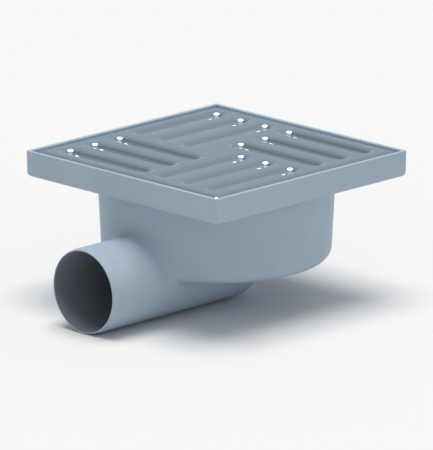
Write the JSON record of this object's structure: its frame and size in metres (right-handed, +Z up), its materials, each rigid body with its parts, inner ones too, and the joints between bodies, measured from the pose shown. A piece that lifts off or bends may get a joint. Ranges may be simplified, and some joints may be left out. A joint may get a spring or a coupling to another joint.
{
  "type": "gully trap",
  "caption": "Square floor gully: slotted grate flush in its frame, bell over a standpipe as a water seal, round basin and horizontal outlet spigot.",
  "frame": {"origin": "centre of the grate's top face, level with the top of the frame and the finished floor", "axes": "+Z up, the outlet spigot points along -Y, the frame's sides lie along X and Y"},
  "size_m": [0.196, 0.2335, 0.1114],
  "materials": {
    "moulded_pvc": "satin to glossy bluish-grey moulded PVC",
    "bell_pvc": "glossy bluish-grey moulded PVC",
    "grate_steel": "smooth pressed stainless sheet, satin"
  },
  "bodies": {
    "root": {"trap_body": "moulded_pvc", "bell": "bell_pvc", "grate": "grate_steel"}
  },
  "joints": []
}
